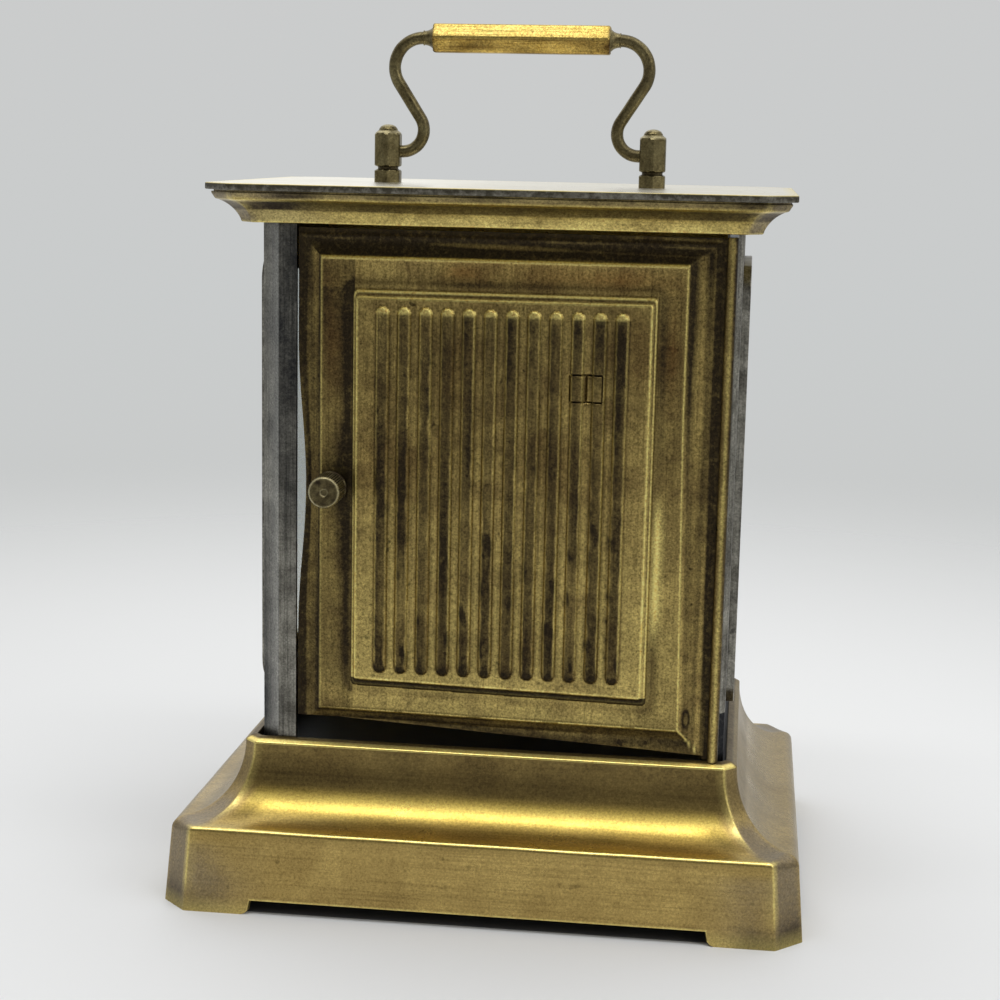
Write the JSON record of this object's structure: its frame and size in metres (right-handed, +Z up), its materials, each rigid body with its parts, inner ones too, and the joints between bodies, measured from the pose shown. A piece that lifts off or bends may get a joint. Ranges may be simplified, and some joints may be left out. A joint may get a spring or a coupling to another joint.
{
  "type": "musical clock",
  "caption": "Brass and nickel musical alarm clock with a ribbed rear door, canted pillars, a coved base and cornice, glazed sides and a swinging handle on its lid.",
  "frame": {"origin": "middle of the footprint at the level the feet stand on", "axes": "+Z up; the dial faces -Y and the ribbed rear door faces +Y; the door's knob is on the +X side"},
  "size_m": [0.144, 0.11, 0.1981],
  "materials": {
    "base_brass": "worn satin brass, brushed along its length",
    "case_brass": "tarnished brass moulding",
    "door_brass": "brushed brass gone dark and mottled",
    "nickel": "dull nickel plate, streaked",
    "gilt": "bright lacquered brass",
    "lid_metal": "pale worn nickel",
    "dark_brass": "dark handled brass",
    "glass": "clear bevelled plate",
    "case_floor": "dull blue black paint",
    "dial_face": "white enamel",
    "hand_paint": "blued black",
    "movement_brass": "grained brass",
    "steel": "plain steel"
  },
  "bodies": {
    "clock_case": {"base_plinth": "base_brass", "base_bottom_plate": "steel", "case_floor": "case_floor", "pillar_front_left": "nickel", "pillar_front_right": "nickel", "pillar_rear_left": "nickel", "pillar_rear_right": "nickel", "side_frame_left": "nickel", "side_frame_right": "nickel", "side_glass_left": "glass", "side_glass_right": "glass", "front_frame": "gilt", "front_glass": "glass", "cornice": "case_brass", "lid_plate": "lid_metal", "handle_post_left": "dark_brass", "handle_post_right": "dark_brass", "post_nuts": "steel", "hinge_pins": "steel", "dial_mask": "gilt", "dial": "dial_face", "dial_bezel": "gilt", "front_movement_plate": "movement_brass", "rear_movement_plate": "movement_brass", "plate_pillars": "movement_brass", "pillar_nuts": "steel", "music_bedplate": "movement_brass", "music_comb": "steel"},
    "door": {"rear_door": "door_brass", "knob_ferrule": "dark_brass"},
    "knob": {"door_knob": "dark_brass", "latch_tongue": "steel"},
    "handle": {"handle_rod": "dark_brass", "handle_grip": "gilt", "grip_collars": "dark_brass"},
    "minute_body": {"minute_arbor": "steel", "minute_hand": "hand_paint", "hand_set_knob": "movement_brass"},
    "minute_wheel_body": {"minute_wheel": "movement_brass"},
    "hour_body": {"hour_wheel": "movement_brass", "hour_hand": "hand_paint"},
    "alarm_body": {"alarm_arbor": "steel", "alarm_hand": "hand_paint", "alarm_set_knob": "movement_brass"},
    "winding_body": {"barrel_arbor": "steel", "time_winding_key": "movement_brass"},
    "going_barrel_body": {"going_barrel": "gilt"},
    "centre_body": {"centre_wheel": "movement_brass"},
    "third_body": {"third_wheel": "movement_brass"},
    "fourth_body": {"fourth_wheel": "movement_brass"},
    "escape_body": {"escape_wheel": "movement_brass"},
    "pallet_body": {"pallet_lever": "steel"},
    "balance_body": {"balance_wheel": "gilt", "hairspring": "steel"},
    "cylinder_body": {"music_cylinder": "gilt"},
    "music_barrel_body": {"music_barrel": "gilt"},
    "music_key_body": {"music_winding_key": "movement_brass"},
    "governor_body": {"governor_wheel": "movement_brass"},
    "fan_body": {"governor_fan": "steel"},
    "release_body": {"release_lever": "steel"}
  },
  "joints": [
    {"name": "door_hinge", "type": "hinge", "parent": "clock_case", "child": "door", "pos_m": [-0.0506, 0.037, 0.094], "axis": [0, 0, 1], "range_deg": [0, 115]},
    {"name": "door_knob_turn", "type": "hinge", "parent": "door", "child": "knob", "pos_m": [0.036, 0.038, 0.0952], "axis": [0, 1, 0], "range_deg": [0, 90]},
    {"name": "handle_swing", "type": "hinge", "parent": "clock_case", "child": "handle", "pos_m": [0, 0, 0.1688], "axis": [1, 0, 0], "range_deg": [-95, 95]},
    {"name": "minute_turn", "type": "hinge", "parent": "clock_case", "child": "minute_body", "pos_m": [0, -0.007, 0.1], "axis": [0, 1, 0], "continuous": true},
    {"name": "minute_wheel_turn", "type": "hinge", "parent": "clock_case", "child": "minute_wheel_body", "pos_m": [-0.01, -0.022, 0.1], "axis": [0, 1, 0], "continuous": true},
    {"name": "hour_turn", "type": "hinge", "parent": "clock_case", "child": "hour_body", "pos_m": [0, -0.023, 0.1], "axis": [0, 1, 0], "continuous": true},
    {"name": "alarm_set_turn", "type": "hinge", "parent": "clock_case", "child": "alarm_body", "pos_m": [0, -0.007, 0.116], "axis": [0, 1, 0], "continuous": true},
    {"name": "time_winding", "type": "hinge", "parent": "clock_case", "child": "winding_body", "pos_m": [-0.0105, -0.007, 0.08181], "axis": [0, 1, 0], "continuous": true},
    {"name": "going_barrel_turn", "type": "hinge", "parent": "clock_case", "child": "going_barrel_body", "pos_m": [-0.0105, -0.012, 0.08181], "axis": [0, 1, 0], "continuous": true},
    {"name": "centre_wheel_turn", "type": "hinge", "parent": "clock_case", "child": "centre_body", "pos_m": [0, -0.006, 0.1], "axis": [0, 1, 0], "continuous": true},
    {"name": "third_wheel_turn", "type": "hinge", "parent": "clock_case", "child": "third_body", "pos_m": [-0.01353, -0.007, 0.10493], "axis": [0, 1, 0], "continuous": true},
    {"name": "fourth_wheel_turn", "type": "hinge", "parent": "clock_case", "child": "fourth_body", "pos_m": [-0.01146, -0.007, 0.11664], "axis": [0, 1, 0], "continuous": true},
    {"name": "escape_wheel_turn", "type": "hinge", "parent": "clock_case", "child": "escape_body", "pos_m": [-0.02167, -0.007, 0.11664], "axis": [0, 1, 0], "continuous": true},
    {"name": "pallet_rock", "type": "hinge", "parent": "clock_case", "child": "pallet_body", "pos_m": [-0.02167, -0.007, 0.12614], "axis": [0, 1, 0], "range_deg": [-5, 5]},
    {"name": "balance_swing", "type": "hinge", "parent": "clock_case", "child": "balance_body", "pos_m": [-0.00973, -0.007, 0.1274], "axis": [0, 1, 0], "range_deg": [-220, 220]},
    {"name": "music_cylinder_turn", "type": "hinge", "parent": "clock_case", "child": "cylinder_body", "pos_m": [-0.01, 0, 0.01815], "axis": [1, 0, 0], "continuous": true},
    {"name": "music_barrel_turn", "type": "hinge", "parent": "clock_case", "child": "music_barrel_body", "pos_m": [0.03, 0, 0.01], "axis": [0, 0, 1], "continuous": true},
    {"name": "music_winding", "type": "hinge", "parent": "clock_case", "child": "music_key_body", "pos_m": [0.03, 0, 0.003], "axis": [0, 0, 1], "continuous": true},
    {"name": "governor_turn", "type": "hinge", "parent": "clock_case", "child": "governor_body", "pos_m": [-0.0401, -0.00952, 0.01815], "axis": [1, 0, 0], "continuous": true},
    {"name": "fan_spin", "type": "hinge", "parent": "clock_case", "child": "fan_body", "pos_m": [-0.0401, -0.01493, 0.01815], "axis": [0, 0, 1], "continuous": true},
    {"name": "release_rock", "type": "hinge", "parent": "clock_case", "child": "release_body", "pos_m": [-0.022, -0.0212, 0.068], "axis": [0, 1, 0], "range_deg": [-2.5, 0]}
  ],
  "couplings": [
    {"joint": "third_wheel_turn", "follows": "fourth_wheel_turn", "ratio": -0.13333},
    {"joint": "centre_wheel_turn", "follows": "fourth_wheel_turn", "ratio": 0.016667},
    {"joint": "going_barrel_turn", "follows": "fourth_wheel_turn", "ratio": -0.0027778},
    {"joint": "escape_wheel_turn", "follows": "fourth_wheel_turn", "ratio": -7.5},
    {"joint": "minute_wheel_turn", "follows": "minute_turn", "ratio": -0.33333},
    {"joint": "hour_turn", "follows": "minute_turn", "ratio": 0.083333},
    {"joint": "music_barrel_turn", "follows": "music_cylinder_turn", "ratio": -0.28571},
    {"joint": "governor_turn", "follows": "music_cylinder_turn", "ratio": -6},
    {"joint": "fan_spin", "follows": "music_cylinder_turn", "ratio": -120}
  ]
}
